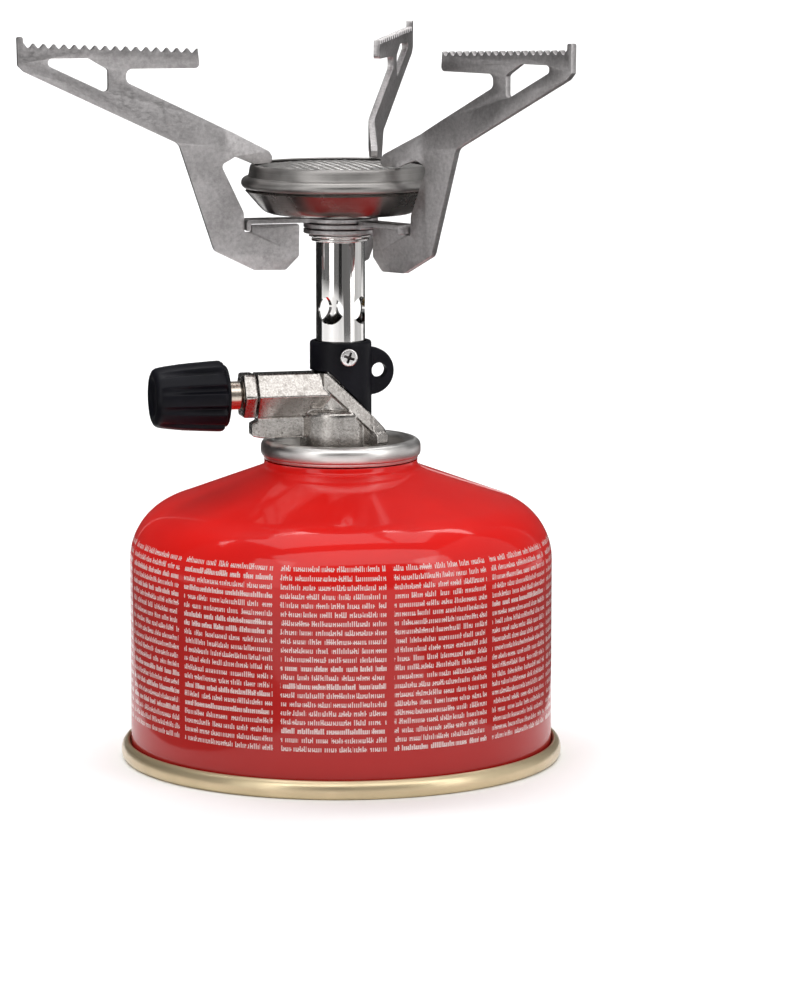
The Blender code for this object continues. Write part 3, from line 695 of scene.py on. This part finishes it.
def knob():
    """A tapered grip whose radius dips in ten shallow grooves that fade towards its rounded end."""
    grip = [(0, 21.45), (3.2, 21.45), (3.6, 21.6), (4.1, 22.0), (4.6, 22.1), (5.3, 22.05), (5.9, 21.75)]
    grip += [(6.25, 21.2), (6.45, 20.3), (6.65, 19.0), (6.85, 17.2), (7.0, 16.0), (7.15, 14.0), (7.28, 12.0)]
    grip += [(7.4, 10.0), (7.48, 8.6), (7.5, 8.0), (7.45, 7.5), (7.3, 7.25), (6.75, 7.15)]
    grip += [(6.5, 6.95), (6.5, 6.5), (6.35, 6.35), (3.9, 6.3), (3.7, 6.35), (3.5, 6.6)]
    grip += [(2.0, 6.6), (2.0, 16.8), (0, 16.8)]
    obj = along_x("knob_skin", grip, 240)
    for vertex in obj.data.vertices:
        spot = vertex.co
        radius = math.hypot(spot.x, spot.y)
        height = spot.z / MM
        if radius < 5.0 * MM or height < 7.0:
            continue
        wave = math.cos(KNOB_GROOVES * math.atan2(spot.y, spot.x))
        groove = max(0.0, (wave - 0.25) / 0.75) ** 0.8
        fade = min(1.0, max(0.0, (21.0 - height) / 8.0)) ** 0.7
        scale = 1 - (KNOB_GROOVE_DEPTH * groove * fade) / radius
        spot.x *= scale
        spot.y *= scale
    obj.data.update()
    piece(obj, KNOB, "knob", "control_knob")


def sleeve():
    """The plastic sleeve with its eyelet, cut along the casting's slope, and its cross-head screw."""
    clamp = cylinder("sleeve_skin", 6.55, 20.0, (0, 0, 79.3), 128)
    edged(clamp, 0.6, 4)
    lug = cylinder("eyelet_form", 5.05, 2.6, (6.35, 0, 82.6), 96, "Y")
    edged(lug, 0.35)
    combine(clamp, baked(lug), "UNION")
    below = slope_box("sleeve_slope_cut", (60, 40, -30), 0.4)
    combine(below, box("sleeve_heel_form", (10, 20, 10), (-8.83, 0, 88.1)), "DIFFERENCE")
    combine(clamp, baked(below), "DIFFERENCE")
    combine(clamp, cylinder("sleeve_bore_cut", 5.5, 30, (0, 0, 80), 96), "DIFFERENCE")
    combine(clamp, cylinder("eyelet_cut", 1.6, 8, (8.1, 0, 82.7), 48, "Y"), "DIFFERENCE")
    combine(clamp, cylinder("sleeve_screw_cut", 1.25, 3, (0, -6.6, 86.3), 32, "Y"), "DIFFERENCE")
    piece(softened(clamp, 0.13, 2), SLEEVE, "stove", "tube_clamp")

    head = cylinder("sleeve_screw_skin", 1.9, 1.0, (0, -7.4, 86.3), 64, "Y")
    edged(head, 0.38, 4)
    combine(head, cylinder("screw_shank_form", 0.9, 1.7, (0, -6.5, 86.3), 32, "Y"), "UNION")
    for turn in (20, 110):
        slot = edged(box(f"slot_cut_{turn}", (2.4, 1.3, 0.55), (0, -7.9, 86.3), (0, turn, 0)), 0.1, 2)
        combine(head, baked(slot), "DIFFERENCE")
    combine(head, cylinder("slot_centre_cut", 0.5, 1.4, (0, -7.8, 86.3), 24, "Y"), "DIFFERENCE")
    piece(settled(baked(head)), SCREW, "stove", "clamp_screw")


# Burner -------------------------------------------------------------------------------------


def burner_tube():
    """The mixing tube with two pairs of air holes, its clip and its washer."""
    wall = [(4.65, 118.0), (5.15, 118.0), (5.2, 117.9), (5.2, 84.7), (5.1, 84.6), (4.65, 84.6)]
    tube = turned("tube_skin", wall, 144)
    for angle in TUBE_HOLE_ANGLES:
        hole = cylinder(f"air_cut_{angle}", 2.95, 16, (0, 0, 95.9), 64, "X")
        hole.rotation_euler = (0, math.pi / 2, math.radians(angle))
        combine(tube, hole, "DIFFERENCE")
    tube = baked(tube)
    edged(tube, 0.07, 2)
    piece(tube, TUBE, "stove", "burner_tube")
    clip = [(5.5, 111.0), (6.0, 111.0), (6.1, 110.9), (6.1, 110.5), (6.0, 110.4), (5.5, 110.4)]
    piece(turned("tube_clip_skin", clip, 96), STEEL, "stove", "tube_clip")
    washer = [(5.55, 111.75), (6.6, 111.75), (6.7, 111.65), (6.7, 111.45), (6.6, 111.35), (5.55, 111.35)]
    piece(turned("washer_skin", washer, 96), STEEL, "stove", "wave_washer")


def carrier(side, level, angle, offset):
    """A ring on the tube at one of three levels, with an arm that steps up to the common height."""
    low = 112.1 + 1.2 * level
    high = low + 0.9
    ring = [(5.55, high), (7.7, high), (7.8, high - 0.1), (7.8, low + 0.1), (7.7, low), (5.55, low)]
    obj = turned(f"carrier_{side}_skin", ring, 96)
    top = max(115.0, high)
    arm = [(6.6, low, 0), (6.6, high, 0)]
    if high < top:
        arm += [(8.1, high, 0.1), (8.1, top, 0.35)]
    arm += [(20.75, top, 0.8), (20.75, 113.0, 0.2), (19.9, 113.0, 0.2), (19.9, top - 0.9, 0.25)]
    if high < top:
        arm += [(9.0, top - 0.9, 0.2), (9.0, low, 0.35)]
    else:
        arm += [(9.0, low, 0)]
    strip = baked(sheet(f"arm_{side}_form", [eased(arm)], 5.0, 0.1))
    combine(obj, upright(strip, angle, math.copysign(0.4, offset)), "UNION")
    piece(baked(obj), STAINLESS, f"support_{side}", f"carrier_{side}")


def tooth_line(start, end, count, depth):
    """The points between the two ends of the pot edge: rounded teeth with a valley between each pair."""
    start, end = Vector(start), Vector(end)
    along = (end - start) / count
    down = Vector((-along.y, along.x)).normalized()
    points = []
    per_tooth = 12
    for k in range(count):
        for step in range(1, per_tooth):
            share = step / per_tooth
            dip = (0.5 - 0.5 * math.cos(2 * math.pi * share)) ** 0.75
            points.append(start + along * (k + share) + down * depth * dip)
        if k < count - 1:
            points.append(start + along * (k + 1))
    return points


def pot_support(side, angle, offset):
    """A sheet plate on edge: foot under the carrier's arm, leg, and a toothed finger bent sideways."""
    lower = [(30.8, 151.1, 0), (30.4, 147.1, 0.9), (45.9, 147.1, 1.3), (46.0, 144.4, 1.4)]
    lower += [(30.3, 136.9, 2.0), (15.0, 129.4, 0.8), (14.3, 128.3, 0.5), (14.4, 126.9, 0.8)]
    lower += [(18.6, 126.9, 1.0), (22.9, 128.6, 1.2), (26.0, 126.9, 1.0), (21.2, 116.8, 2.5), (21.1, 112.7, 0.3)]
    lower += [(19.55, 112.7, 0.3), (19.55, 114.2, 0), (9.3, 114.2, 0.4), (9.4, 107.5, 0.8)]
    lower += [(12.3, 104.6, 1.0), (19.0, 104.7, 1.0), (27.5, 108.9, 1.6), (34.9, 131.4, 2.0), (67.2, 146.7, 1.2)]
    lower += [(68.5, 148.0, 0.6), (68.6, 153.9, 0.4), (67.4, 153.9, 0.4), (67.3, 152.6, 0)]
    window = [(62.3, 149.4, 0.8), (53.8, 149.4, 1.5), (49.7, 147.0, 0.8), (49.7, 142.0, 0.8)]
    window += [(62.2, 147.9, 0.8)]
    outline = eased(lower) + tooth_line(lower[-1][:2], lower[0][:2], TEETH, TOOTH_DEPTH)
    plate = sheet(f"support_{side}_skin", [outline, eased(window)], SUPPORT_SHEET)
    work = bmesh.new()
    work.from_mesh(plate.data)
    bend_at, half_arc = FINGER_BEND_R, FINGER_BEND_HALF
    segments = 4
    for k in range(segments + 1):
        everything = work.verts[:] + work.edges[:] + work.faces[:]
        spot = bend_at - half_arc + 2 * half_arc * k / segments
        bmesh.ops.bisect_plane(work, geom=everything, dist=1e-7, plane_co=(spot, 0, 0), plane_no=(1, 0, 0))
    for vertex in work.verts:
        if vertex.co.x > bend_at + half_arc or vertex.co.y < FINGER_LOW:
            continue
        share = min(1.0, (bend_at + half_arc - vertex.co.x) / (2 * half_arc))
        turn = Matrix.Rotation(math.radians(FINGER_BEND) * share, 3, "Y")
        pivot = Vector((bend_at + half_arc * (1 - share), vertex.co.y, 0))
        vertex.co = pivot + turn @ (vertex.co - pivot)
    work.to_mesh(plate.data)
    work.free()
    upright(plate, angle, offset)
    edged(plate, 0.1, 2, 50.0)
    piece(settled(baked(plate)), STAINLESS, f"support_{side}", f"pot_support_{side}")


def burner_head():
    """The burner's bowl, rolled rim, plate and spreader."""
    bowl = [(19.6, 121.5), (20.0, 121.0), (19.2, 120.1), (17.3, 117.9), (16.4, 117.0), (15.8, 116.6)]
    bowl += [(14.9, 116.3), (14.2, 116.22), (7.0, 116.2), (5.5, 116.2), (5.5, 117.0), (14.2, 117.0)]
    bowl += [(15.6, 117.5)]
    piece(turned("bowl_skin", bowl, 160), BOWL_TINT_AND_SHADE, "stove", "burner_cup")
    rim = [(18.5, 126.6), (18.85, 126.45), (19.0, 126.2), (19.15, 125.6), (19.3, 124.6), (19.5, 124.1)]
    rim += [(19.9, 123.95)] + arc(19.65, 122.75, 1.25, 60, -60, 9) + [(19.9, 121.6), (19.65, 121.55)]
    rim += [(19.2, 122.0), (19.0, 124.2), (18.1, 126.4)]
    piece(turned("rim_skin", rim, 160), RIM, "stove", "burner_rim")
    burner_plate()
    spreader = [(0, 122.6), (12.0, 122.0), (12.6, 121.2), (12.0, 121.3), (0, 121.9)]
    piece(turned("spreader_skin", spreader, 96, closed=False), STAINLESS, "stove", "flame_spreader")


def burner_plate():
    """A disc embossed all over with short slanted ribs in rows that lean one way and then the other."""
    rings, steps = 110, 330
    work = bmesh.new()

    def raised(x, y):
        """Height in mm of staggered leaf-shaped bumps that lean one way and then the other."""
        row = math.floor(y / RIB_ROW)
        along = x / RIB_PITCH + 0.5 * (row % 2)
        column = math.floor(along)
        u, v = (along - column - 0.5) * RIB_PITCH, y - (row + 0.5) * RIB_ROW
        lean = math.radians(RIB_LEAN if row % 2 else -RIB_LEAN)
        a = u * math.cos(lean) + v * math.sin(lean)
        b = v * math.cos(lean) - u * math.sin(lean)
        leaf = max(0.0, 1 - (a / RIB_HALF_LENGTH) ** 2 - (b / RIB_HALF_WIDTH) ** 2)
        edge = min(1.0, max(0.0, (PLATE_RADIUS - 0.7 - math.hypot(x, y)) / 0.5))
        return RIB_HEIGHT * leaf ** 0.6 * edge

    top = []
    for ring in range(1, rings + 1):
        r = PLATE_RADIUS * ring / rings
        loop = []
        for step in range(steps):
            a = 2 * math.pi * step / steps
            x, y = r * math.cos(a), r * math.sin(a)
            z = PLATE_CENTRE - PLATE_CROWN * (r / PLATE_RADIUS) ** 2 + raised(x, y)
            loop.append(work.verts.new((x * MM, y * MM, min(z, PLATE_TOP) * MM)))
        top.append(loop)
    hub = work.verts.new((0, 0, 126.3 * MM))
    skirt = [work.verts.new((v.co.x, v.co.y, PLATE_EDGE_LOW * MM)) for v in top[-1]]
    bottom = work.verts.new((0, 0, PLATE_UNDER * MM))
    for step in range(steps):
        following = (step + 1) % steps
        work.faces.new((hub, top[0][step], top[0][following]))
        for inner, outer in zip(top, top[1:] + [skirt]):
            work.faces.new((inner[step], outer[step], outer[following], inner[following]))
        work.faces.new((bottom, skirt[following], skirt[step]))
    mesh = bpy.data.meshes.new("plate_skin")
    work.to_mesh(mesh)
    work.free()
    obj = bpy.data.objects.new("plate_skin", mesh)
    scene.collection.objects.link(obj)
    obj.location = (AXIS_X, 0, 0)
    mesh.shade_smooth()
    mesh.set_sharp_from_angle(angle=math.radians(60))
    piece(obj, PLATE, "stove", "burner_plate")


# Studio -------------------------------------------------------------------------------------


def studio_material(name, colour):
    """A matte surface of one colour for the floor and the cards."""
    made = bpy.data.materials.new(name)
    made.use_nodes = True
    shader = made.node_tree.nodes["Principled BSDF"]
    shader.inputs["Base Color"].default_value = (*colour, 1)
    shader.inputs["Roughness"].default_value = 0.9
    shader.inputs["Specular IOR Level"].default_value = 0.2
    return made


def backdrop():
    """A pale floor that sweeps up behind the object."""
    front, sweep_start, sweep_radius, half_width, top = -2.5, 1.2, 0.8, 3.0, 3.0
    profile = [(front, 0.0), (0.0, 0.0), (sweep_start, 0.0)]
    for angle in (math.radians(10 * k) for k in range(1, 10)):
        level = sweep_radius - sweep_radius * math.cos(angle)
        profile.append((sweep_start + sweep_radius * math.sin(angle), level))
    profile.append((sweep_start + sweep_radius, top))
    work = bmesh.new()
    loops = [[work.verts.new((x, y, z)) for y, z in profile] for x in (-half_width, half_width)]
    for k in range(len(profile) - 1):
        work.faces.new((loops[0][k], loops[1][k], loops[1][k + 1], loops[0][k + 1]))
    mesh = bpy.data.meshes.new("studio_floor")
    work.to_mesh(mesh)
    work.free()
    mesh.shade_smooth()
    obj = bpy.data.objects.new("studio_floor", mesh)
    scene.collection.objects.link(obj)
    mesh.materials.append(studio_material("studio_white", (0.93, 0.93, 0.93)))


def card(name, centre, size, facing, shade, glow=0.0):
    """A flat card beside the set, dark or glowing, that only shows in the object's reflections."""
    mesh = bpy.data.meshes.new(name)
    half_x, half_y = size[0] / 2, size[1] / 2
    corners = ((-half_x, -half_y, 0), (half_x, -half_y, 0), (half_x, half_y, 0), (-half_x, half_y, 0))
    mesh.from_pydata(corners, [], [(0, 1, 2, 3)])
    obj = bpy.data.objects.new(name, mesh)
    scene.collection.objects.link(obj)
    obj.location = centre
    obj.rotation_euler = Vector(facing).to_track_quat("Z", "Y").to_euler()
    mesh.materials.append(studio_material(name + "_face", (shade, shade, shade)))
    shader = mesh.materials[0].node_tree.nodes["Principled BSDF"]
    shader.inputs["Emission Color"].default_value = (1, 1, 1, 1)
    shader.inputs["Emission Strength"].default_value = glow
    obj.visible_camera = False
    obj.visible_shadow = False
    obj.visible_diffuse = False


def softbox(name, location, target, size, power):
    """A rectangular area light that faces its target."""
    data = bpy.data.lights.new(name, "AREA")
    data.shape = "RECTANGLE"
    data.size, data.size_y = size
    data.energy = power
    obj = bpy.data.objects.new(name, data)
    scene.collection.objects.link(obj)
    obj.location = location
    obj.rotation_euler = (Vector(target) - Vector(location)).to_track_quat("-Z", "Y").to_euler()


def studio():
    """The floor, five softboxes, and the cards that give bright metal and lacquer their dark edges."""
    backdrop()
    world = bpy.data.worlds.new("studio_world")
    world.use_nodes = True
    world.node_tree.nodes["Background"].inputs[0].default_value = (1, 1, 1, 1)
    world.node_tree.nodes["Background"].inputs[1].default_value = 0.16
    scene.world = world
    middle = (AXIS_X, 0, 0.09)
    softbox("left_softbox", (-1.0, -0.7, 0.5), middle, (0.5, 1.1), 3.4)
    softbox("right_softbox", (0.9, -0.9, 0.5), middle, (0.45, 1.1), 4.2)
    softbox("front_softbox", (0.0, -0.75, 1.05), middle, (1.9, 0.6), 8)
    softbox("top_softbox", (0.0, 0.3, 1.5), (AXIS_X, 0.05, 0), (1.6, 1.2), 11.5)
    softbox("back_softbox", (0.0, 0.7, 1.9), (0, 2.2, 0.6), (3.0, 0.8), 40)
    card("left_floor_flag", (-0.2, 0.1, 0.0004), (0.28, 0.44), (0, 0, 1), 0.02)
    card("right_floor_flag", (0.24, 0.03, 0.0004), (0.3, 0.6), (0, 0, 1), 0.05)
    card("back_flag", (0.03, 0.34, 0.42), (0.24, 0.84), (0, -1, 0), 0.03)
    card("left_flag", (-0.2, 0.22, 0.42), (0.3, 0.84), (0.75, -0.8, 0), 0.01)
    card("right_flag", (0.24, 0.26, 0.42), (0.22, 0.84), (-0.7, -0.8, 0), 0.06)
    card("right_panel", (0.5, -0.1, 0.3), (0.42, 0.7), (-1, 0.2, 0), 0.1, 0.5)
    card("camera_flag", (-0.24, -1.05, 0.35), (0.26, 0.9), (0.24, 1.0, 0), 0.01)


def camera():
    """The camera at the height, distance and tilt of the product picture."""
    distance, height = 0.8906, 0.1912
    tilt, pan = math.radians(8.70), math.radians(0.776)
    heading = VIEW_ANGLE + pan
    data = bpy.data.cameras.new("camera")
    data.sensor_width = 36
    data.lens = 152.19
    data.clip_start, data.clip_end = 0.01, 20
    obj = bpy.data.objects.new("camera", data)
    scene.collection.objects.link(obj)
    obj.location = (AXIS_X - distance * math.sin(VIEW_ANGLE), -distance * math.cos(VIEW_ANGLE), height)
    level = math.cos(tilt)
    forward = Vector((math.sin(heading) * level, math.cos(heading) * level, -math.sin(tilt)))
    obj.rotation_euler = forward.to_track_quat("-Z", "Y").to_euler()
    scene.camera = obj


camera()
canister()
canister_valve()
valve_body()
gland_nut()
spindle_and_seals()
knob()
sleeve()
burner_tube()
for ring_level, (support_side, (bearing, plate_offset)) in enumerate(SUPPORTS.items()):
    carrier(support_side, ring_level, bearing, plate_offset)
    pot_support(support_side, bearing, plate_offset)
burner_head()
studio()
